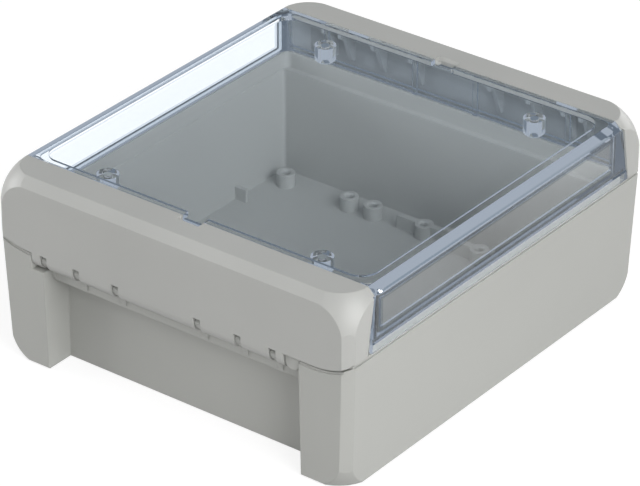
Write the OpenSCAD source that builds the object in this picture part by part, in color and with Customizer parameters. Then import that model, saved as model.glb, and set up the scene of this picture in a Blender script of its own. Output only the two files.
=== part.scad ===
// Plastic project box with a clear lid.
// Two grey strips clip over the ends of the lid and turn on pins at their lower edge.
// X runs along the strips, Y from the front strip to the back strip, Z is up, z = 0 is the table.

/* [Overall size] */
// Width of the box, along the strips
box_w = 125; // [118:1:150]
// Depth of the box, across both strips
box_d = 141; // [130:1:180]
// Height of the closed box
box_h = 60; // [54:1:80]
// Height of the parting line between the base and what sits on it
seam_z = 40.3; // [38:0.1:46]

/* [Edges] */
// Bevel along the top edges and the upright corners
edge_bevel = 2.7; // [1.5:0.1:3.5]
// Bevel along the bottom edges
foot_bevel = 0.4; // [0.2:0.1:1]
// Lean of the base's sides, from the parting line to the bottom
side_draft = 1.6; // [0.6:0.1:2]
// Lean of the base's front and back
end_draft = 1.1; // [0.4:0.1:1.4]
// Distance from the outer faces to the centre of the ball that rounds a corner
ball_in = 12; // [11:0.1:13]
// Height and depth of the fine step along the top edge of the base
edge_step = 0.6; // [0.3:0.1:0.9]

/* [Base] */
// Wall of the base
base_wall = 3; // [2.4:0.1:3.6]
// Side wall of the base, from the outer face to the cavity
side_wall = 3.6; // [3:0.1:4.2]
// Thickness of the floor
floor_t = 4; // [3:0.1:6]
// Radius of the upright corners inside the cavity
cavity_r = 1; // [0.8:0.1:2]
// Width of each corner column
column_w = 17.2; // [15:0.2:20]
// Depth of the recess between two columns
recess_depth = 10.6; // [9.6:0.1:11.6]
// Depth of the narrow ledge inside, below the parting line
ledge_drop = 1.7; // [1.2:0.1:2.2]
// Height of the upstand above the parting line
upstand_h = 3.6; // [2.8:0.1:4]
// Thickness of the upstand
upstand_t = 1.9; // [1.7:0.1:2.1]
// Radius of its inner corners
upstand_r = 2; // [1.6:0.1:2.6]
// Reach of the rim over each end recess
rim_over = 3.6; // [3.3:0.1:3.8]
// Thickness of that rim
rim_t = 2.4; // [2:0.1:3]

/* [Wall fixing] */
// Distance from the side of the box to a fixing screw
fix_in_x = 8.5; // [8:0.1:9]
// Distance from the front or back of the box to a fixing screw
fix_in_y = 5; // [4.6:0.1:5.4]
// Diameter of the hole for a fixing screw
fix_hole_d = 4.5; // [3.5:0.1:5]
// Diameter of the well for the screw head
fix_well_d = 7; // [6.6:0.1:7.2]

/* [Board supports] */
// Height of the bosses and ribs on the floor
boss_h = 4.4; // [3:0.2:8]
// Outer diameter of a floor boss
boss_d = 5.8; // [5:0.1:7]
// Diameter of the screw hole in a floor boss
boss_hole_d = 2.5; // [1.8:0.1:3.2]
// Distance between the two rows of floor bosses
boss_span_y = 98.6; // [80:0.2:100]
// Outermost bosses of a row, from the middle
boss_outer_x = 52.2; // [48:0.2:54]
// Next bosses of a row, from the middle
boss_mid_x = 28; // [26:0.5:34]
// Innermost pair of a row, from the middle
boss_inner_x = 19; // [14:0.5:20]
// Thickness of the rib along the middle of a row
boss_rib_t = 1.8; // [1:0.1:2.4]
// Short end of that rib, from the middle
boss_rib_tail = 9.7; // [5:0.1:12]
// Distance between the short ribs on a side wall
side_rib_span = 66.6; // [50:0.2:80]
// Length of a short rib
side_rib_l = 4.2; // [3:0.2:6]
// Thickness of a short rib
side_rib_t = 1.3; // [1:0.1:2]

/* [Lid] */
// Wall of the lid
lid_wall = 2.3; // [2:0.1:2.4]
// Thickness of the clear pane
pane_t = 2.5; // [1.8:0.1:3]
// Depth of the sunk keypad field
field_drop = 1.5; // [0.8:0.1:2]
// Rim between the field and the edge of the strips
field_rim_y = 2.4; // [1.5:0.1:5]
// Rim between the field and the bevel at the sides
field_rim_x = 2.7; // [1.5:0.1:5]
// Corner radius of the field
field_r = 5.5; // [2:0.5:10]
// Height of the flange along the lower edge of the lid's sides
lid_flange_h = 2.6; // [2:0.1:3]
// Wall of the lid's skirt, outside the upstand
lid_skirt_t = 1.1; // [0.9:0.1:1.2]
// Step from the lid's side to that flange and to the base
lid_step = 0.4; // [0.2:0.1:0.5]
// Radius of the lid's inner corners
lid_corner_r = 3.5; // [2:0.1:5]
// Depth of the sunk window inside each side wall of the lid
window_drop = 0.8; // [0.4:0.1:1.1]
// Length of the window
window_l = 110.4; // [80:0.2:112]
// Height of the window
window_h = 9.3; // [6:0.1:10]
// Height of the window's lower edge above the parting line
window_up = 5.7; // [5.2:0.1:7]
// Distance between the lid's screw bosses along X
lid_boss_span_x = 75.6; // [60:0.2:90]
// Distance between the lid's screw bosses along Y
lid_boss_span_y = 100.2; // [80:0.2:102]
// Outer diameter of a lid boss
lid_boss_d = 6.5; // [5:0.1:8]
// Length of a lid boss
lid_boss_l = 5.3; // [3:0.1:8]
// Chamfer round its lower end
lid_boss_chamfer = 0.7; // [0.3:0.1:1.2]
// Diameter of the screw hole in a lid boss
lid_boss_hole_d = 2.6; // [1.8:0.1:3.2]

/* [Seal] */
// Width of the seal
seal_w = 1; // [0.8:0.1:1.2]
// Depth of the rebate in the upstand that holds it
seal_seat = 0.9; // [0.6:0.1:1.2]
// Height by which it stands above the upstand
seal_rise = 0.2; // [0.1:0.05:0.3]

/* [Strips] */
// Wall of a strip
strip_wall = 2; // [1.6:0.1:2.2]
// Thickness of the flange that covers the lid's edge
flange_t = 2.2; // [1.8:0.1:2.6]
// Width of that flange, from the outer face
flange_w = 11.7; // [10:0.1:12.4]
// Lean of the edge of an end cap, from top to bottom
cap_lean = 2.9; // [2:0.1:3.2]
// Radius of the rolled lower edge
lip_r = 3.6; // [3.2:0.1:3.8]
// Height of the straight lower edge under the parting line
skirt_drop = 3; // [2.6:0.1:3.4]
// Chamfer inside the lower edge, which lets the strip swing over the columns
skirt_chamfer = 1.2; // [0.8:0.1:1.3]
// Half length of the straight part of the lower edge
skirt_flat = 50; // [44:0.5:52]
// Radius of a hinge pin
pin_r = 1; // [0.8:0.05:1.1]
// Distance from the outer face to the pin axis
pin_in = 2.7; // [2.6:0.05:2.8]
// Distance from the parting line down to the pin axis
pin_drop = 5.6; // [5.5:0.1:5.9]
// Width of a slot in the rolled edge
slot_w = 2.5; // [2:0.1:3.2]
// Thickness of the webs beside a slot
web_t = 1.2; // [1:0.1:1.6]
// Thickness of the gussets under the flange
gusset_t = 1.4; // [1:0.1:2]
// Width of the notch for a screwdriver
notch_w = 7.2; // [5:0.2:12]
// Depth of the notch in the flange
notch_depth = 1.6; // [1:0.1:2.2]

/* [Clearances] */
// Gap between pieces that move past each other
gap = 0.3; // [0.2:0.05:0.4]
// Running clearance of a hinge pin, on the radius
pin_play = 0.05; // [0.03:0.01:0.08]
// Play of a hinge lug along its pin, on each side
lug_play = 0.25; // [0.2:0.05:0.4]

/* [Hidden] */
$fn = 64;
eps = 0.01;
far = 400;

half_w = box_w / 2;
half_d = box_d / 2;
recess_y = half_d - recess_depth;
column_x = half_w - column_w;
cavity_x = half_w - side_wall;
cavity_y = recess_y - base_wall;
ledge_z = seam_z - ledge_drop;
rim_y = recess_y + rim_over;
strip_top_y = half_d - edge_bevel;
flange_y = half_d - flange_w;
flange_z = box_h - flange_t;
// Upper end of the leaning edge of a cap
cap_y = flange_y + 0.8;

// Centre of the ball at a bottom corner, which follows the lean of the sides
low_ball_z = ball_in - edge_bevel + 0.2;
low_ball_x = half_w - side_draft * (1 - low_ball_z / seam_z) - ball_in;
low_ball_y = half_d - end_draft * (1 - low_ball_z / seam_z) - ball_in;

// Hinge line of a strip, as a distance from the middle and a height
pin_y = half_d - pin_in;
pin_z = seam_z - pin_drop;
// Centre line of the rolled edge
lip_y = half_d - lip_r;
lip_z = pin_z + 1.1;

// Lower edge of a strip: straight, then an arc that rises to the parting line
skirt_z = seam_z - skirt_drop;
skirt_run = half_w - skirt_flat;
skirt_rise = skirt_drop + gap;
skirt_arc_r = (skirt_run * skirt_run + skirt_rise * skirt_rise) / (2 * skirt_rise);

// The rolled edge is longer at one end, where it passes in front of a column
lip_x0 = -column_x - 3.9;
lip_x1 = column_x - 5.4;
// Places of the hinge lugs as shares of the recess, uneven as on the real strip
lug_share = [-0.993, -0.731, -0.419, 0.225, 0.536, 0.801];
lug_x = [for (s = lug_share) s * column_x];
lug_w = slot_w - 2 * lug_play;
eye_r = pin_r + 1.4;
// Depth of a hook's face behind the face of the rolled edge
hook_in = 0.5;
// Gussets under the flange, as shares of the half width
gusset_share = [0.23, 0.451, 0.646, 0.746];
// A short tooth between two of them
tooth_share = 0.544;
// Half length of the thick stretch behind the notch
notch_back = 9.5;

// Shelf that carries the lugs
shelf_y = lip_y - 0.4;
shelf_top = pin_z - 3.1;
shelf_t = 3.3;
// Space between its left end and the column
shelf_in = 0.8;

// The lid's outer faces
lid_x = half_w - lid_step;
lid_end_y = flange_y - gap;
lid_foot_z = seam_z + gap;
lid_back_y = lid_end_y + 0.5 + lid_wall;
lid_top_rebate_z = flange_z - gap;
// The front face leans out towards its foot by as much as its swing allows
lid_lean = 1.8;
// The back edge follows the end caps of the back strip, which swings with the lid
lid_back_lean = cap_y + cap_lean - gap - lid_end_y;
pane_z = box_h - field_drop - pane_t;
lid_in_x = lid_x - lid_wall - 0.5;
field_x = half_w - edge_bevel - field_rim_x;
field_y = flange_y - field_rim_y;

// Outer faces and top of the upstand, which stands further in at the front to let the lid swing
up_x = half_w - lid_skirt_t - gap;
up_back_y = lid_end_y + lid_back_lean - lid_skirt_t - gap;
up_front_y = lid_end_y + 1.1;
up_z = seam_z + upstand_h;
// Room for it and for the seal under the lid's walls
up_room_z = up_z + seal_rise + gap;

// A flat shape in the X and Z directions, extruded along Y between two places
module along_y(y0, y1) {
    translate([0, y1, 0]) rotate([90, 0, 0]) linear_extrude(y1 - y0) children();
}

// A flat shape in the Y and Z directions, extruded along X between two places
module along_x(x0, x1) {
    translate([x0, 0, 0]) rotate([90, 0, 90]) linear_extrude(x1 - x0) children();
}

// A box from its lowest and highest corners
module block(low, high) {
    translate(low) cube(high - low);
}

// The same shape again, turned half round to the other end of the box
module both_ends() {
    children();
    rotate(180) children();
}

// A rectangle around the middle with rounded corners, made of true arcs
module round_rect(hx, hy, r) {
    square([2 * hx - 2 * r, 2 * hy], center = true);
    square([2 * hx, 2 * hy - 2 * r], center = true);
    for (sx = [-1, 1], sy = [-1, 1])
        translate([sx * (hx - r), sy * (hy - r)]) circle(r);
}

// Radius of a corner ball that just meets the bevels
ball_r = norm([ball_in, ball_in - edge_bevel]) + 0.05;

// Upright slab across the box, with both top edges bevelled
module upright_slab(half, top, bevel) {
    polygon([
        [-half, 0], [half, 0], [half, top - bevel],
        [half - bevel, top], [-half + bevel, top], [-half, top - bevel]
    ]);
}

// Slab below the parting line that narrows by its draft towards the bottom
module drafted_slab(half, draft) {
    at_foot = half - draft + draft * foot_bevel / seam_z;
    polygon([
        [-half + draft + foot_bevel, 0], [half - draft - foot_bevel, 0],
        [at_foot, foot_bevel], [half, seam_z], [-half, seam_z], [-at_foot, foot_bevel]
    ]);
}

// What the ball at one outer corner takes away
module corner_cut(centre, side, r) {
    translate(centre) difference() {
        translate([for (s = side) s > 0 ? 0 : -ball_in - 1]) cube(ball_in + 1);
        sphere(r, $fn = 96);
    }
}

// Upright box with bevelled edges at a depth below the outer faces
module bevelled_box(depth, bevel) {
    hx = half_w - depth;
    hy = half_d - depth;
    top = box_h - depth;
    diagonal = (hx + hy - bevel) / sqrt(2);
    intersection() {
        along_y(-half_d, half_d) upright_slab(hx, top, bevel);
        along_x(-half_w, half_w) upright_slab(hy, top, bevel);
        rotate(45) translate([0, 0, box_h / 2]) cube([2 * box_w, 2 * diagonal, box_h], center = true);
        rotate(-45) translate([0, 0, box_h / 2]) cube([2 * box_w, 2 * diagonal, box_h], center = true);
    }
}

// Outer form of the strips
module upper_form() {
    difference() {
        bevelled_box(0, edge_bevel);
        for (sx = [-1, 1], sy = [-1, 1])
            corner_cut([sx * (half_w - ball_in), sy * (half_d - ball_in), box_h - ball_in], [sx, sy, 1], ball_r);
    }
}

// Outer form of the base
module lower_form() {
    diagonal = (half_w + half_d - edge_bevel) / sqrt(2);
    diagonal_draft = (side_draft + end_draft) / sqrt(2);
    difference() {
        intersection() {
            along_y(-half_d, half_d) drafted_slab(half_w, side_draft);
            along_x(-half_w, half_w) drafted_slab(half_d, end_draft);
            rotate(45) along_x(-box_w, box_w) drafted_slab(diagonal, diagonal_draft);
            rotate(-45) along_x(-box_w, box_w) drafted_slab(diagonal, diagonal_draft);
        }
        for (sx = [-1, 1], sy = [-1, 1])
            corner_cut([sx * low_ball_x, sy * low_ball_y, low_ball_z], [sx, sy, -1], ball_r + 0.1);
    }
}

// Everything above the lower edge of a strip, seen from the front
module skirt_outline() {
    translate([-skirt_flat, skirt_z]) square([2 * skirt_flat, box_h]);
    for (s = [0, 1]) mirror([s, 0]) intersection() {
        translate([skirt_flat, skirt_z + skirt_arc_r]) circle(skirt_arc_r, $fn = 180);
        translate([skirt_flat - 1, skirt_z]) square([skirt_run + 2, box_h - skirt_z]);
    }
}

// Base

module base() {
    color("#b3b4b1") difference() {
        union() {
            base_shell();
            upstand();
            both_ends() hinge_shelf();
            both_ends() hinge_lugs();
            floor_supports();
        }
        floor_holes();
        fixing_wells();
    }
}

module base_shell() {
    difference() {
        union() {
            intersection() {
                lower_form();
                linear_extrude(seam_z) base_plan();
            }
            end_rims();
        }
        translate([0, 0, floor_t]) linear_extrude(box_h) round_rect(cavity_x, cavity_y, cavity_r);
        translate([0, 0, ledge_z]) linear_extrude(box_h) upstand_plan(upstand_t, upstand_r);
        edge_steps();
        both_ends() strip_room();
        both_ends() lip_room();
    }
}

// Plan of the upstand at a depth below its outer faces
module upstand_plan(depth, r) {
    translate([0, (up_back_y - up_front_y) / 2])
        round_rect(up_x - depth, (up_back_y + up_front_y) / 2 - depth, r);
}

// The upstand round the opening, with a rebate for the seal along its outer top edge
module upstand() {
    difference() {
        union() {
            translate([0, 0, ledge_z]) linear_extrude(up_z - seal_seat - ledge_z) upstand_plan(0, upstand_r);
            translate([0, 0, ledge_z]) linear_extrude(up_z - ledge_z) upstand_plan(seal_w, upstand_r);
        }
        translate([0, 0, ledge_z - 1]) linear_extrude(box_h) upstand_plan(upstand_t, upstand_r);
    }
}

// Plan of the base below the rim: a box with a column at each corner
module base_plan() {
    difference() {
        square([box_w, box_d], center = true);
        for (s = [-1, 1]) translate([0, s * (recess_y + recess_depth)])
            square([2 * column_x, 2 * recess_depth], center = true);
    }
}

// The rim hangs over the recess at each end, with a sloped underside
module end_rims() {
    both_ends() along_x(-column_x - eps, column_x + eps) polygon([
        [-recess_y + 1, seam_z - rim_t - rim_over],
        [-recess_y, seam_z - rim_t - rim_over * 0.4],
        [-rim_y + 0.6, seam_z - rim_t],
        [-rim_y, seam_z - rim_t + 0.6],
        [-rim_y, seam_z],
        [-recess_y + 1, seam_z]
    ]);
}

// The fine step round the top edge, which draws the light line under the parting line
module edge_steps() {
    translate([0, 0, seam_z - edge_step]) difference() {
        linear_extrude(1) square([box_w + 2, box_d + 2], center = true);
        translate([0, 0, -1]) linear_extrude(3)
            square([box_w - 2 * edge_step, box_d + 4], center = true);
    }
}

// Room over the columns for the wall of a strip, with the fine step along its edge
module strip_room() {
    along_y(-half_d - 1, -half_d + strip_wall + gap)
        translate([0, -2 * gap]) skirt_outline();
    along_y(-half_d - 1, -half_d + edge_step)
        translate([0, -2 * gap - edge_step]) skirt_outline();
}

// Room for the rolled edge where it passes in front of a column
module lip_room() {
    x0 = lip_x0 - gap;
    along_x(x0, -column_x + eps) {
        translate([-lip_y, lip_z]) circle(lip_r + gap);
        translate([-half_d - 1, lip_z - lip_r - gap]) square([half_d + 1 - lip_y, box_h]);
        translate([-lip_y - eps, lip_z]) square([lip_r + gap, box_h]);
    }
}

// Shelf along the wall of a recess, under the rolled edge of the strip
module hinge_shelf() {
    along_x(-column_x + shelf_in, column_x + eps) {
        translate([-shelf_y + 0.6, shelf_top - shelf_t])
            square([shelf_y - recess_y + 0.4, shelf_t]);
        translate([-shelf_y, shelf_top - shelf_t + 0.6])
            square([shelf_y - recess_y + 1, shelf_t - 1.2]);
        for (z = [shelf_top - shelf_t + 0.6, shelf_top - 0.6])
            translate([-shelf_y + 0.6, z]) circle(0.6, $fn = 24);
    }
}

// Hooks that grip the pins of a strip, and the stop beside its short end
module hinge_lugs() {
    for (x = lug_x) translate([x - lug_w / 2, 0, 0]) along_x(0, lug_w) lug_profile();
    translate([lip_x1 + gap, 0, 0]) end_stop(column_x - lip_x1 - 2 * gap);
}

// A hook stays just inside the outline of the rolled edge, and runs down to the shelf behind it
module lug_profile() {
    difference() {
        intersection() {
            union() {
                translate([-lip_y, lip_z]) circle(lip_r - hook_in);
                translate([-lip_y, 0]) square([half_d, box_h]);
            }
            lug_body();
        }
        translate([-pin_y, pin_z]) circle(pin_r + pin_play);
        // Mouth through which the pin snaps in
        translate([-pin_y, pin_z]) rotate(35) translate([0, -pin_r * 0.72])
            square([eye_r + 1, pin_r * 1.44]);
    }
}

module lug_body() {
    translate([-pin_y, pin_z]) circle(eye_r);
    polygon([
        [-pin_y - eye_r * 0.94, pin_z - eye_r * 0.34],
        [-pin_y - eye_r * 0.62, pin_z - eye_r * 1.25],
        [-pin_y + 0.5, shelf_top - 1],
        [-shelf_y + 0.2, shelf_top - shelf_t + 0.3],
        [-shelf_y + 1.1, shelf_top - 0.2],
        [-shelf_y + 1.1, pin_z - eye_r * 0.4],
        [-pin_y + eye_r * 0.6, pin_z - eye_r * 0.2]
    ]);
}

// A stop with a rounded lower end, beside the short end of the rolled edge
module end_stop(w) {
    r = w / 2;
    front = -half_d + 0.9;
    top = skirt_z - 2 * gap;
    low = shelf_top + 1.2;
    along_y(front, -recess_y + 1) intersection() {
        union() {
            translate([r, low + r]) circle(r);
            translate([0, low + r]) square([w, w]);
        }
        square([w, top]);
    }
}

// Bosses and ribs that carry a circuit board
module floor_supports() {
    base_z = floor_t - 1;
    for (s = [-1, 1], x = boss_places())
        translate([x, s * boss_span_y / 2, base_z]) cylinder(d = boss_d, h = boss_h + 1);
    both_ends() block(
        [-boss_rib_tail, boss_span_y / 2 - boss_rib_t / 2, base_z],
        [boss_inner_x, boss_span_y / 2 + boss_rib_t / 2, floor_t + boss_h]
    );
    for (sx = [-1, 1], sy = [-1, 1])
        translate([sx * (cavity_x - side_rib_l / 2 + 0.5), sy * side_rib_span / 2, floor_t + boss_h / 2 - 0.5])
            cube([side_rib_l + 1, side_rib_t, boss_h + 1], center = true);
}

function boss_places() = [
    -boss_outer_x, -boss_mid_x, -boss_inner_x, 0, boss_inner_x, boss_mid_x, boss_outer_x
];

module floor_holes() {
    for (s = [-1, 1], x = boss_places())
        translate([x, s * boss_span_y / 2, floor_t - 1.5]) {
            cylinder(d = boss_hole_d, h = boss_h + 2);
            translate([0, 0, boss_h + 1.5 - 0.5]) cylinder(d1 = boss_hole_d, d2 = boss_hole_d + 1.1, h = 0.51);
        }
}

// Wells in the columns for the screws that hold the box to a wall
module fixing_wells() {
    for (sx = [-1, 1], sy = [-1, 1]) translate([sx * (half_w - fix_in_x), sy * (half_d - fix_in_y), 0]) {
        translate([0, 0, -1]) cylinder(d = fix_hole_d, h = floor_t + 2);
        translate([0, 0, floor_t]) cylinder(d = fix_well_d, h = box_h);
    }
}

// Lid

module lid() {
    color("#a9b4bf", 0.35) difference() {
        union() {
            lid_shell();
            lid_back_wall();
            lid_bosses();
            inner_ribs();
            inner_corners();
        }
        windows();
        boss_holes();
        lid_notches();
        sunk_field();
    }
}

// Outer faces in the Y and Z directions, with the lean at both ends
module lid_end_outline() {
    polygon([
        [-lid_end_y - lid_lean, lid_foot_z], [lid_end_y + lid_back_lean, lid_foot_z],
        [cap_y - gap, lid_top_rebate_z], [lid_end_y, lid_top_rebate_z], [lid_end_y, box_h],
        [-lid_end_y, box_h], [-lid_end_y, lid_top_rebate_z]
    ]);
}

// Outer faces in the X and Z directions: bevels, sides and flange
module lid_side_outline() {
    top = half_w - edge_bevel;
    flange_top = lid_foot_z + lid_flange_h;
    right = [
        [half_w, lid_foot_z], [half_w, flange_top], [lid_x, flange_top + lid_step],
        [lid_x, box_h - edge_bevel + lid_step], [top, box_h]
    ];
    polygon(concat(right, [for (i = [len(right) - 1 : -1 : 0]) [-right[i][0], right[i][1]]]));
}

module lid_shell() {
    difference() {
        intersection() {
            along_y(-half_d, half_d) lid_side_outline();
            along_x(-half_w, half_w) lid_end_outline();
        }
        intersection() {
            block([-lid_in_x, -half_d, 0], [lid_in_x, half_d, pane_z]);
            along_x(-half_w, half_w) lid_hollow();
        }
        upstand_room();
    }
}

// Room for the upstand between the lid's skirts, open towards the front
module upstand_room() {
    block([-up_x - gap, -half_d, 0], [up_x + gap, up_back_y + gap, up_room_z]);
}

// The hollow keeps the lean of the front face and stops at the back wall
module lid_hollow() {
    back_in = lid_back_y - lid_wall;
    polygon([
        [-lid_end_y - lid_lean - 1 + lid_wall, 0], [-lid_end_y - lid_lean + lid_wall, lid_foot_z],
        [-lid_end_y + lid_wall, lid_top_rebate_z], [-lid_end_y + lid_wall, box_h],
        [back_in, box_h], [back_in, 0]
    ]);
}

// The back wall stands under the flange of the back strip
module lid_back_wall() {
    half = half_w - strip_wall - 2 * gap;
    y0 = lid_back_y - lid_wall;
    intersection() {
        union() {
            difference() {
                block([-half, y0, up_room_z], [half, lid_back_y, lid_top_rebate_z]);
                for (s = [-1, 1]) translate([s * half, lid_back_y, 0]) rotate(45)
                    cube([1.4, 1.4, 4 * box_h], center = true);
            }
            block([-half, up_back_y + gap, lid_foot_z], [half, lid_end_y + lid_back_lean, up_room_z + 0.8]);
            block([-half, lid_end_y - 1, pane_z], [half, lid_back_y, lid_top_rebate_z]);
        }
        bevelled_box(strip_wall + 2 * gap, edge_bevel + 1.5);
    }
}

module lid_bosses() {
    for (sx = [-1, 1], sy = [-1, 1])
        translate([sx * lid_boss_span_x / 2, sy * lid_boss_span_y / 2, pane_z - lid_boss_l]) {
            cylinder(d1 = lid_boss_d - 2 * lid_boss_chamfer, d2 = lid_boss_d, h = lid_boss_chamfer);
            translate([0, 0, lid_boss_chamfer]) cylinder(d = lid_boss_d, h = lid_boss_l - lid_boss_chamfer + 1);
        }
}

module boss_holes() {
    for (sx = [-1, 1], sy = [-1, 1])
        translate([sx * lid_boss_span_x / 2, sy * lid_boss_span_y / 2, pane_z - lid_boss_l - 1])
            cylinder(d = lid_boss_hole_d, h = lid_boss_l + 0.6);
}

// Upright ribs on the inside of the lid's back wall
module inner_ribs() {
    y1 = lid_back_y - lid_wall;
    for (s = [-1, 1], x = [0.175, 0.7] * half_w)
        translate([s * x, y1, (up_room_z + pane_z) / 2])
            cube([1.6, 1.2, pane_z - up_room_z + eps], center = true);
}

// Rounded inner corners, from the upstand to the pane
module inner_corners() {
    r = lid_corner_r;
    front = lid_end_y - lid_wall;
    back = lid_back_y - lid_wall;
    for (s = [0, 1]) mirror([s, 0, 0]) translate([0, 0, up_room_z]) linear_extrude(pane_z - up_room_z + eps) {
        inner_corner(back, r, 0.1);
        mirror([0, 1]) inner_corner(front, r, lid_lean);
    }
}

// Plan of one corner, which reaches into the end wall behind it
module inner_corner(y, r, reach) {
    difference() {
        translate([lid_in_x - r, y - r]) square([r + eps, r + reach]);
        translate([lid_in_x - r, y - r]) circle(r);
    }
}

// The sunk field for a label or keypad on top of the lid
module sunk_field() {
    translate([0, 0, box_h - field_drop]) linear_extrude(box_h) round_rect(field_x, field_y, field_r);
}

module windows() {
    z0 = seam_z + window_up;
    for (s = [0, 1]) mirror([s, 0, 0]) along_x(lid_in_x - 1, lid_in_x + window_drop)
        translate([0, z0 + window_h / 2]) round_rect(window_l / 2, window_h / 2, 0.4);
}

// Slots through the rim, where a screwdriver reaches under a flange
module lid_notches() {
    for (s = [-1, 1]) translate([0, s * (field_y + lid_back_y) / 2, box_h])
        cube([notch_w, lid_back_y - field_y + 0.4, 2 * field_drop], center = true);
}

// Seal

module seal() {
    color("#8f9290") translate([0, 0, up_z - seal_seat]) linear_extrude(seal_seat + seal_rise) difference() {
        upstand_plan(0, upstand_r);
        upstand_plan(seal_w, upstand_r);
    }
}

// Strips

// Strip profile with the end caps still solid, seen from the side
module strip_profile() {
    polygon([
        [-half_d, skirt_z], [-half_d, box_h], [-flange_y, box_h], [-flange_y, flange_z],
        [-cap_y, flange_z], [-cap_y - cap_lean, seam_z + gap],
        [-half_d + strip_wall, seam_z + gap], [-half_d + strip_wall, skirt_z + skirt_chamfer],
        [-half_d + strip_wall - skirt_chamfer, skirt_z]
    ]);
}

module strip_shell() {
    difference() {
        intersection() {
            upper_form();
            along_x(-half_w, half_w) strip_profile();
            along_y(-half_d, 0) skirt_outline();
        }
        intersection() {
            bevelled_box(strip_wall, edge_bevel + 1.5);
            block([-half_w, -half_d, 0], [half_w, 0, flange_z]);
        }
    }
}

// The lower edge is rolled inwards as an open gutter
module rolled_edge() {
    along_x(lip_x0, lip_x1) difference() {
        translate([-lip_y, lip_z]) circle(lip_r);
        translate([-lip_y, lip_z]) circle(lip_r - strip_wall);
        translate([-lip_y, lip_z]) square(2 * lip_r);
        translate([-lip_y - lip_r + strip_wall, lip_z]) square(2 * lip_r);
    }
    block([lip_x0, -half_d, lip_z - eps], [lip_x1, -half_d + strip_wall, skirt_z + skirt_chamfer + eps]);
}

// Webs close the gutter beside each slot and carry the pin
module pin_webs() {
    for (x = lug_x, s = [-1, 1]) {
        x0 = max(lip_x0, x + s * (slot_w + web_t) / 2 - web_t / 2);
        x1 = min(lip_x1, x + s * (slot_w + web_t) / 2 + web_t / 2);
        along_x(x0, x1) {
            translate([-lip_y, lip_z]) circle(lip_r);
            translate([-half_d + strip_wall / 2, lip_z]) square([lip_r - strip_wall / 2, lip_r]);
        }
    }
}

module slots() {
    for (x = lug_x) {
        block([x - slot_w / 2, -half_d - 1, 0], [x + slot_w / 2, 0, skirt_z]);
        along_x(x - slot_w / 2, x + slot_w / 2) translate([-pin_y, pin_z]) circle(eye_r + gap);
    }
}

module pins() {
    for (x = lug_x)
        translate([x - slot_w / 2 - web_t / 2, -pin_y, pin_z]) rotate([0, 90, 0])
            cylinder(r = pin_r, h = slot_w + web_t);
}

// Gussets stiffen the flange from inside, with a short tooth and a thick stretch between them
module gussets() {
    inner = lid_back_y + gap;
    intersection() {
        bevelled_box(strip_wall / 2, edge_bevel + 1);
        union() {
            for (x = both_sides(gusset_share)) translate([x - gusset_t / 2, 0, 0]) gusset(inner);
            for (x = both_sides([tooth_share])) translate([x, -inner - 1, flange_z - 1.5])
                cube([2.6, 2, 4], center = true);
            block([-notch_back, -inner - 2, flange_z - 3.4], [notch_back, -inner, flange_z + eps]);
        }
    }
}

// Places to the left and right of the middle, from shares of the half width
function both_sides(shares) = [for (s = [-1, 1], g = shares) s * g * half_w];

module gusset(inner) {
    along_x(0, gusset_t) polygon([
        [-half_d, box_h], [-half_d, seam_z + 3],
        [-half_d + strip_wall + 1.2, seam_z + 3], [-inner - 2, flange_z - 5],
        [-inner, flange_z - 5], [-inner, box_h]
    ]);
}

// Notch with sloped sides in the edge of the flange
module flange_notch() {
    half = notch_w / 2;
    translate([0, -flange_y, flange_z - 1]) linear_extrude(box_h) polygon([
        [-half, eps], [half, eps], [half, 0], [half - notch_depth * 0.5, -notch_depth],
        [-half + notch_depth * 0.5, -notch_depth], [-half, 0]
    ]);
    translate([0, -flange_y - notch_depth + 0.4, box_h]) rotate([45, 0, 0])
        cube([notch_w + 0.6, 1.8, 1.8], center = true);
}

module strip() {
    difference() {
        union() {
            strip_shell();
            rolled_edge();
            pin_webs();
            gussets();
        }
        slots();
        flange_notch();
    }
    pins();
}

module front_strip() {
    color("#b6b7b4") strip();
}

module back_strip() {
    color("#b6b7b4") rotate(180) strip();
}

base();
lid();
seal();
front_strip();
back_strip();
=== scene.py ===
# %% [markdown]
# # A plastic project box with a clear lid
# The real object is a light grey moulded box for electronics. A clear, slightly smoke-blue lid lies on it,
# and a grey strip grips the lid at the front and at the back. All shapes come from the CAD model: this script
# gives them their plastics, the light of a product studio and the camera of the photograph.

import math

import bpy
from mathutils import Matrix, Vector

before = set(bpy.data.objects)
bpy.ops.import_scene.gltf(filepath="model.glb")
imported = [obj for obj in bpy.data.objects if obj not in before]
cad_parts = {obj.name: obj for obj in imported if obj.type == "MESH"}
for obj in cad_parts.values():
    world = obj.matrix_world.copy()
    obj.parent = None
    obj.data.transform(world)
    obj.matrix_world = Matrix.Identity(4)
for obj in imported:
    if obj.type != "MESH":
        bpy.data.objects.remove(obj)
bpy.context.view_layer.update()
MM = 0.001

# %% [markdown]
# ## Camera
# Product photographs of such boxes are taken from far away with a long lens, so that parallel edges stay
# nearly parallel. A camera can be placed by a position and a rotation matrix, but those can't be read. So it is
# given here as a turn round the box to the right, a height angle and a distance, and the lights will be placed
# in the same way.

# %% Helper: the direction of a turn and a height angle
BOX_MIDDLE = Vector((0, 0, 30 * MM))


def direction(turn, rise):
    turn, rise = math.radians(turn), math.radians(rise)
    return Vector((math.cos(rise) * math.sin(turn), -math.cos(rise) * math.cos(turn), math.sin(rise)))


print("a turn of 90 degrees looks from", [round(v, 3) for v in direction(90, 0)])

# %% Camera
VIEW_TURN = 37.4818
VIEW_RISE = 29.8071
VIEW_ROLL = 0.0388
VIEW_DISTANCE = 1129.34 * MM
LENS_MM = 221.36
SENSOR_MM = 36
FRAME_SHIFT = (0.00354, 0.0004)
AIM_OFFSET = (-1.724 * MM, -3.86 * MM)
NEAREST_SEEN = 50 * MM


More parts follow.
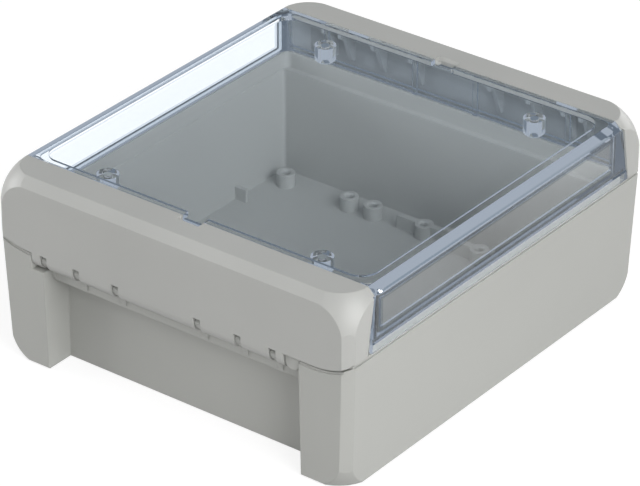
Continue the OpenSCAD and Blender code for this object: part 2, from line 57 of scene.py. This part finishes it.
def camera_matrix():
    to_camera = direction(VIEW_TURN, VIEW_RISE)
    turn = math.radians(VIEW_TURN)
    right = Vector((math.cos(turn), math.sin(turn), 0))
    up = to_camera.cross(right)
    aim = BOX_MIDDLE + AIM_OFFSET[0] * right + AIM_OFFSET[1] * up
    axes = Matrix((right, up, to_camera)).transposed().to_4x4()
    roll = Matrix.Rotation(math.radians(VIEW_ROLL), 4, "Z")
    return Matrix.Translation(aim + VIEW_DISTANCE * to_camera) @ axes @ roll


def add_camera():
    camera = bpy.data.objects.new("studio_camera", bpy.data.cameras.new("studio_camera"))
    camera.matrix_world = camera_matrix()
    camera.data.lens = LENS_MM
    camera.data.sensor_width = SENSOR_MM
    camera.data.shift_x, camera.data.shift_y = FRAME_SHIFT
    camera.data.clip_start = NEAREST_SEEN
    bpy.context.collection.objects.link(camera)
    bpy.context.scene.camera = camera
    return camera


camera = add_camera()
bpy.context.scene.view_settings.view_transform = "Standard"
print("camera at", [round(v, 3) for v in camera.matrix_world.translation])

# %% [markdown]
# ## Grain of a moulded surface
# A mould is spark-eroded, so the plastic that leaves it has a very fine matt grain, and large faces also show
# faint cloudy changes of gloss. Both are random, so noise textures suit them. Several finishes share them, so
# they live in one shader node group, which each material sets to its own scale.

# %% Node group for the grain
GRAIN_DETAIL = 3.0
GRAIN_HARSHNESS = 0.6
CLOUD_DETAIL = 2.0


def new_socket(group, name, side, default=None):
    socket = group.interface.new_socket(name, in_out=side, socket_type="NodeSocketFloat")
    if default is not None:
        socket.default_value = default
    return socket


def build_grain_group():
    group = bpy.data.node_groups.new("moulded_grain", "ShaderNodeTree")
    new_socket(group, "Grain Scale", "INPUT", 2500.0)
    new_socket(group, "Cloud Scale", "INPUT", 25.0)
    new_socket(group, "Height", "OUTPUT")
    new_socket(group, "Cloud", "OUTPUT")
    nodes, links = group.nodes, group.links
    inputs, outputs = nodes.new("NodeGroupInput"), nodes.new("NodeGroupOutput")
    place = nodes.new("ShaderNodeTexCoord")
    fine, cloud = nodes.new("ShaderNodeTexNoise"), nodes.new("ShaderNodeTexNoise")
    fine.inputs["Detail"].default_value = GRAIN_DETAIL
    fine.inputs["Roughness"].default_value = GRAIN_HARSHNESS
    cloud.inputs["Detail"].default_value = CLOUD_DETAIL
    for noise, scale, result in ((fine, "Grain Scale", "Height"), (cloud, "Cloud Scale", "Cloud")):
        links.new(place.outputs["Object"], noise.inputs["Vector"])
        links.new(inputs.outputs[scale], noise.inputs["Scale"])
        links.new(noise.outputs["Fac"], outputs.inputs[result])
    return group


GRAIN = build_grain_group()
print("shader groups:", [group.name for group in bpy.data.node_groups])

# %% [markdown]
# ## Grey plastic
# Base and strips are light grey plastic with a satin face, the base a shade darker than the strips. One flat
# colour would look like a plain CAD model. So the colour drifts a little between two shades, the gloss drifts
# between two roughness values, and the grain goes into the bump. The edges of a moulding are never quite
# sharp. Their rounding of about half a millimetre is too fine to model, so a Bevel node bends the normal there.

# %% Helper: map a value between two limits
NOISE_LOW, NOISE_HIGH = 0.35, 0.65


def mapped(nodes, links, source, low, high, start=NOISE_LOW, end=NOISE_HIGH):
    node = nodes.new("ShaderNodeMapRange")
    node.inputs["From Min"].default_value = start
    node.inputs["From Max"].default_value = end
    node.inputs["To Min"].default_value = low
    node.inputs["To Max"].default_value = high
    links.new(source, node.inputs["Value"])
    return node.outputs["Result"]


print("most of the noise lies between", NOISE_LOW, "and", NOISE_HIGH)


# %% Helper: blend two colours by a mask
def mixed_colours(nodes, links, factor, first, second):
    node = nodes.new("ShaderNodeMix")
    node.data_type = "RGBA"
    node.inputs["A"].default_value = (*first, 1)
    node.inputs["B"].default_value = (*second, 1)
    links.new(factor, node.inputs["Factor"])
    return node.outputs["Result"]


# %% Helper: an empty material with its main shader
def new_material(name):
    material = bpy.data.materials.new(name)
    material.use_nodes = True
    nodes, links = material.node_tree.nodes, material.node_tree.links
    return material, nodes, links, nodes["Principled BSDF"]


# %% Helpers: place the grain group, and press its grain into a surface
def add_grain(nodes, grain_scale, cloud_scale):
    node = nodes.new("ShaderNodeGroup")
    node.node_tree = GRAIN
    node.inputs["Grain Scale"].default_value = grain_scale
    node.inputs["Cloud Scale"].default_value = cloud_scale
    return node


def grained_normal(nodes, links, grain, strength, depth):
    bump = nodes.new("ShaderNodeBump")
    bump.inputs["Strength"].default_value = strength
    bump.inputs["Distance"].default_value = depth
    links.new(grain.outputs["Height"], bump.inputs["Height"])
    return bump


# %% Grey plastic material
STRIP_COLOUR = (0.475, 0.479, 0.461)
BASE_COLOUR = (0.463, 0.468, 0.445)
SHADE = 0.95
GREY_CLOUDS = 22.0
GREY_GRAIN_DEPTH = 0.02 * MM
GREY_INDEX = 1.5
EDGE_RADIUS = 0.45 * MM
EDGE_SAMPLES = 4


def soft_edges(nodes):
    node = nodes.new("ShaderNodeBevel")
    node.samples = EDGE_SAMPLES
    node.inputs["Radius"].default_value = EDGE_RADIUS
    return node.outputs["Normal"]


def grey_plastic(name, colour, grain_scale, bump, roughness):
    material, nodes, links, shader = new_material(name)
    grain = add_grain(nodes, grain_scale, GREY_CLOUDS)
    darker = [SHADE * channel for channel in colour]
    drift = mapped(nodes, links, grain.outputs["Cloud"], 0, 1)
    links.new(mixed_colours(nodes, links, drift, darker, colour), shader.inputs["Base Color"])
    links.new(mapped(nodes, links, grain.outputs["Cloud"], *roughness), shader.inputs["Roughness"])
    surface = grained_normal(nodes, links, grain, bump, GREY_GRAIN_DEPTH)
    links.new(soft_edges(nodes), surface.inputs["Normal"])
    links.new(surface.outputs["Normal"], shader.inputs["Normal"])
    shader.inputs["IOR"].default_value = GREY_INDEX
    return material


BASE_GREY = grey_plastic("base_grey", BASE_COLOUR, grain_scale=2600.0, bump=0.35, roughness=(0.40, 0.48))
STRIP_GREY = grey_plastic("strip_grey", STRIP_COLOUR, grain_scale=3000.0, bump=0.25, roughness=(0.34, 0.42))
print("grey finishes:", BASE_GREY.name, STRIP_GREY.name)

# %% [markdown]
# ## Frame of the side windows
# The photograph shows the thick frame round each side window darker than the window itself, as if light ran a
# long way inside the thick wall. The shape alone doesn't give that look, so shade is painted there: the clear
# plastic gets a darker blue-grey colour on the frame. The place is told by a mask that compares the three
# object coordinates with the limits of the frame and of its window.

# %% Helpers: arithmetic on masks, and the three coordinates of a place
def combined(nodes, links, operation, first, second):
    node = nodes.new("ShaderNodeMath")
    node.operation = operation
    for socket, value in zip(node.inputs, (first, second)):
        if isinstance(value, (int, float)):
            socket.default_value = value
        else:
            links.new(value, socket)
    return node.outputs["Value"]


def coordinates(nodes, links, kind):
    place = nodes.new("ShaderNodeTexCoord")
    split = nodes.new("ShaderNodeSeparateXYZ")
    links.new(place.outputs[kind], split.inputs["Vector"])
    return [split.outputs[axis] for axis in "XYZ"]


# %% Mask of the window frames, where the shade is painted
WALL_FROM = 58.4 * MM
WINDOW_ENDS = (-55.2 * MM, 55.2 * MM)
WINDOW_HEIGHTS = (46.0 * MM, 55.3 * MM)
FRAME_HEIGHTS = (43.2 * MM, 57.2 * MM)


def between(nodes, links, value, limits):
    above = combined(nodes, links, "GREATER_THAN", value, limits[0])
    below = combined(nodes, links, "LESS_THAN", value, limits[1])
    return combined(nodes, links, "MULTIPLY", above, below)


def window_frame(nodes, links):
    x, y, z = coordinates(nodes, links, "Object")
    outward = combined(nodes, links, "ABSOLUTE", x, 0.0)
    in_wall = combined(nodes, links, "GREATER_THAN", outward, WALL_FROM)
    in_band = combined(nodes, links, "MULTIPLY", in_wall, between(nodes, links, z, FRAME_HEIGHTS))
    lengthways = between(nodes, links, y, WINDOW_ENDS)
    window = combined(nodes, links, "MULTIPLY", lengthways, between(nodes, links, z, WINDOW_HEIGHTS))
    return combined(nodes, links, "MULTIPLY", in_band, combined(nodes, links, "SUBTRACT", 1.0, window))


print("window in the mask:", round((WINDOW_ENDS[1] - WINDOW_ENDS[0]) / MM, 1), "mm long")

# %% [markdown]
# ## Light that stays in the lid
# A ray that runs to and fro inside a wall of the lid ends as black after many bounces, while in the real
# plastic it leaves at last and brings the colour of the room with it. So it is given that colour after a few
# bounces. Along the sides it is the even blue-grey of the slanted edge, and under the strips, where it is dim,
# a darker one.

# %% Colour of the trapped light
TRAPPED_AFTER = 3.5
# Painted light: an emission glow on the lid stands in for the light that leaves the wall, and the darker colour
# under the strips is painted shade.
TRAPPED_IN_WALL = (0.41, 0.45, 0.51)
TRAPPED_IN_RIM = (0.15, 0.18, 0.22)
RIM_FROM = 57.0 * MM


def trapped_glow(nodes, links):
    along = combined(nodes, links, "ABSOLUTE", coordinates(nodes, links, "Object")[1], 0.0)
    in_rim = combined(nodes, links, "GREATER_THAN", along, RIM_FROM)
    glow = nodes.new("ShaderNodeEmission")
    links.new(mixed_colours(nodes, links, in_rim, TRAPPED_IN_WALL, TRAPPED_IN_RIM), glow.inputs["Color"])
    return glow.outputs["Emission"]


print("a ray counts as trapped after", TRAPPED_AFTER, "bounces")

# %% [markdown]
# ## Clear plastic
# The lid is polycarbonate: it bends light more than window glass does, and it has a slight smoke-blue tint. A
# colour on the surface would tint thick and thin places alike, so the tint sits in the volume, where it shows
# most along the rims and walls that one looks through lengthways. Rays that carry light into the box, which
# Light Path tells apart, pass the lid straight, because that light would otherwise be lost in noise.

# %% The clear surface
LID_INDEX = 1.58
CLEAR = (0.955, 0.978, 1.0)
# Painted shade: a darker colour for the clear plastic on the window frames.
FRAME_PAINTED_SHADE = (0.50, 0.56, 0.63)
MIRROR_TINT = (0.2, 0.2, 0.2)
LID_GRAIN, LID_CLOUDS = 60.0, 30.0
LID_ROUGHNESS = (0.0, 0.02)
RIPPLE, RIPPLE_DEPTH = 0.05, 0.05 * MM


def polish(nodes, links, shader):
    # The frames get the painted shade as their surface colour, and the windows keep the clear colour.
    painted_shade = mixed_colours(nodes, links, window_frame(nodes, links), CLEAR, FRAME_PAINTED_SHADE)
    links.new(painted_shade, shader.inputs["Base Color"])
    shader.inputs["Transmission Weight"].default_value = 1.0
    shader.inputs["IOR"].default_value = LID_INDEX
    shader.inputs["Specular Tint"].default_value = (*MIRROR_TINT, 1)
    grain = add_grain(nodes, LID_GRAIN, LID_CLOUDS)
    links.new(mapped(nodes, links, grain.outputs["Cloud"], *LID_ROUGHNESS), shader.inputs["Roughness"])
    ripple = grained_normal(nodes, links, grain, RIPPLE, RIPPLE_DEPTH)
    links.new(ripple.outputs["Normal"], shader.inputs["Normal"])
    return shader.outputs["BSDF"]


print("the lid bends light by", LID_INDEX)

# %% Clear plastic material
TINT = (0.30, 0.48, 0.66)
TINT_DENSITY = 10.0
SHADOW_TINT = (0.965, 0.98, 1.0)
HALF_A_BOUNCE = 0.5


def mixed_shaders(nodes, links, factor, first, second):
    node = nodes.new("ShaderNodeMixShader")
    links.new(factor, node.inputs["Fac"])
    links.new(first, node.inputs[1])
    links.new(second, node.inputs[2])
    return node.outputs["Shader"]


def clear_surface(nodes, links, shader):
    rays = nodes.new("ShaderNodeLightPath").outputs
    trapped = combined(nodes, links, "GREATER_THAN", rays["Ray Depth"], TRAPPED_AFTER)
    seen = mixed_shaders(nodes, links, trapped, polish(nodes, links, shader), trapped_glow(nodes, links))
    straight = nodes.new("ShaderNodeBsdfTransparent")
    straight.inputs["Color"].default_value = (*SHADOW_TINT, 1)
    scattered = combined(nodes, links, "GREATER_THAN", rays["Diffuse Depth"], HALF_A_BOUNCE)
    light = combined(nodes, links, "MAXIMUM", rays["Is Shadow Ray"], scattered)
    return mixed_shaders(nodes, links, light, seen, straight.outputs["BSDF"])


def clear_plastic(name):
    material, nodes, links, shader = new_material(name)
    depth = nodes.new("ShaderNodeVolumeAbsorption")
    depth.inputs["Color"].default_value = (*TINT, 1)
    depth.inputs["Density"].default_value = TINT_DENSITY
    output = nodes["Material Output"]
    links.new(clear_surface(nodes, links, shader), output.inputs["Surface"])
    links.new(depth.outputs["Volume"], output.inputs["Volume"])
    return material


LID_CLEAR = clear_plastic("lid_clear")
print("clear finish:", LID_CLEAR.name)

# %% [markdown]
# ## Seal
# A soft foam ring lies in a rebate along the rim of the base. It is matt and slightly open-pored, so it takes
# the same grain group at a coarser scale, a stronger bump and a high roughness.

# %% Seal material
SEAL_GREY = (0.16, 0.165, 0.165)
PORE_SCALE, PORE_CLOUDS = 1500.0, 60.0
PORES, PORE_DEPTH = 0.6, 0.1 * MM
SEAL_ROUGHNESS = (0.75, 0.9)


def soft_foam(name):
    material, nodes, links, shader = new_material(name)
    grain = add_grain(nodes, PORE_SCALE, PORE_CLOUDS)
    shader.inputs["Base Color"].default_value = (*SEAL_GREY, 1)
    links.new(mapped(nodes, links, grain.outputs["Cloud"], *SEAL_ROUGHNESS), shader.inputs["Roughness"])
    pores = grained_normal(nodes, links, grain, PORES, PORE_DEPTH)
    links.new(pores.outputs["Normal"], shader.inputs["Normal"])
    return material


SEAL_SOFT = soft_foam("seal_soft")
print("seal finish:", SEAL_SOFT.name)

# %% [markdown]
# ## Finishes on the pieces
# Each CAD piece keeps its mesh and its place and only gets its plastic, in every material slot that it came
# with. A dictionary from piece to finish says that in one line, and is easy to change.

# %% Put the finishes on
FINISH = {
    "base": BASE_GREY,
    "front_strip": STRIP_GREY,
    "back_strip": STRIP_GREY,
    "lid": LID_CLEAR,
    "seal": SEAL_SOFT,
}
for node_name, finish in FINISH.items():
    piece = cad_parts[node_name]
    for slot in piece.material_slots:
        slot.material = finish
    print(node_name, "is", finish.name, "with", len(piece.data.polygons), "faces")

# %% [markdown]
# ## Lights
# The photograph is a product picture on pure white, and each face of the box has one even grey. The 45 degree
# edges that look up and to the right are the lightest, the right side comes next, and the top is darker than
# the front. So no light hangs overhead: a tall softbox stands on the right, and four low ones stand round the
# box. Round area lights of one size and one distance keep their shadows soft and their strengths comparable.

# %% Softboxes
SOFTBOX_DISTANCE = 1.25
SOFTBOX_SIZE = 0.9
# The power in watts that lights a facing surface at one metre as strongly as a white world of strength 1 does.
WATTS_FOR_WHITE = math.pi ** 2


def add_softbox(name, turn, rise, strength):
    light = bpy.data.lights.new(name, "AREA")
    light.shape = "DISK"
    light.size = SOFTBOX_SIZE
    light.energy = WATTS_FOR_WHITE * SOFTBOX_DISTANCE ** 2 * strength
    lamp = bpy.data.objects.new(name, light)
    place = SOFTBOX_DISTANCE * direction(turn, rise)
    lamp.location = place
    lamp.rotation_euler = (BOX_MIDDLE - place).to_track_quat("-Z", "Y").to_euler()
    bpy.context.collection.objects.link(lamp)
    return lamp


LIGHTS = [
    add_softbox("tall_right_softbox", turn=70, rise=36, strength=0.57),
    add_softbox("low_right_softbox", turn=65, rise=10, strength=0.38),
    add_softbox("low_front_softbox", turn=0, rise=10, strength=0.08),
    add_softbox("low_left_softbox", turn=-70, rise=10, strength=0.66),
    add_softbox("low_back_softbox", turn=180, rise=10, strength=0.28),
]
print("lights:", [(lamp.name, round(lamp.data.energy, 1)) for lamp in LIGHTS])

# %% [markdown]
# ## Room
# The room is plain white for everything that sees it directly, through the lid or in a reflection, and dimmer
# as a source of light, so that the faces of the box keep their different greys. A ray that has met a matt face
# on its way counts as light, even where it then leaves through the lid: without that rule the inside of the box
# would be lit more than its outside. The ceiling is a dim blue-grey, which only the rays find that the lid
# bends or mirrors upwards: it draws the dark lines along the rims.

# %% World
AMBIENT = 0.32
WHITE = (1, 1, 1)
CEILING = (0.25, 0.30, 0.355)
CEILING_FROM, CEILING_TO = 0.25, 0.50


def seen_rays(nodes, links):
    rays = nodes.new("ShaderNodeLightPath").outputs
    bent = combined(nodes, links, "MAXIMUM", rays["Is Glossy Ray"], rays["Is Transmission Ray"])
    unscattered = combined(nodes, links, "LESS_THAN", rays["Diffuse Depth"], HALF_A_BOUNCE)
    bent = combined(nodes, links, "MULTIPLY", bent, unscattered)
    return combined(nodes, links, "MAXIMUM", rays["Is Camera Ray"], bent), bent


def ceiling_share(nodes, links, bent):
    upward = coordinates(nodes, links, "Generated")[2]
    height = mapped(nodes, links, upward, 0.0, 1.0, CEILING_FROM, CEILING_TO)
    return combined(nodes, links, "MULTIPLY", height, bent)


def build_world():
    world = bpy.data.worlds.new("studio_world")
    world.use_nodes = True
    nodes, links = world.node_tree.nodes, world.node_tree.links
    room = nodes["Background"].inputs
    seen, bent = seen_rays(nodes, links)
    links.new(mixed_colours(nodes, links, ceiling_share(nodes, links, bent), WHITE, CEILING), room["Color"])
    links.new(mapped(nodes, links, seen, AMBIENT, 1.0, 0.0, 1.0), room["Strength"])
    bpy.context.scene.world = world
    return world


build_world()
print("ambient light", AMBIENT)

# %% [markdown]
# ## Floor
# The box stands on a plain floor that looks white and still keeps the shadow. A white floor would throw too
# much light up at the box, so its own colour is a mid grey, and the rest is a glow for the rays that see it and
# not for those that carry light. The glow is a little stronger for rays that pass the lid than for mirrored
# ones, because the far window is white in the photograph while the near one mirrors the floor only faintly.

# %% Floor
FLOOR_SIZE = 6.0
FLOOR_BELOW_BOX = 0.0002
FLOOR_GREY = (0.30, 0.30, 0.30)
FLOOR_ROUGHNESS = 0.9
FLOOR_GLOW = 0.80
GLOW_BEHIND_LID = 0.25


def floor_glow(nodes, links):
    seen, bent = seen_rays(nodes, links)
    through_lid = nodes.new("ShaderNodeLightPath").outputs["Is Transmission Ray"]
    behind = combined(nodes, links, "MULTIPLY", bent, through_lid)
    glow = combined(nodes, links, "MULTIPLY", seen, FLOOR_GLOW)
    extra = combined(nodes, links, "MULTIPLY", behind, GLOW_BEHIND_LID)
    return combined(nodes, links, "ADD", glow, extra)


def build_floor():
    bpy.ops.mesh.primitive_plane_add(size=FLOOR_SIZE, location=(0, 0, -FLOOR_BELOW_BOX))
    floor = bpy.context.object
    floor.name = "studio_floor"
    material, nodes, links, shader = new_material("studio_floor")
    shader.inputs["Base Color"].default_value = (*FLOOR_GREY, 1)
    shader.inputs["Roughness"].default_value = FLOOR_ROUGHNESS
    shader.inputs["Specular IOR Level"].default_value = 0.0
    shader.inputs["Emission Color"].default_value = (*WHITE, 1)
    links.new(floor_glow(nodes, links), shader.inputs["Emission Strength"])
    floor.data.materials.append(material)
    return floor


build_floor()
print("floor glow", FLOOR_GLOW)
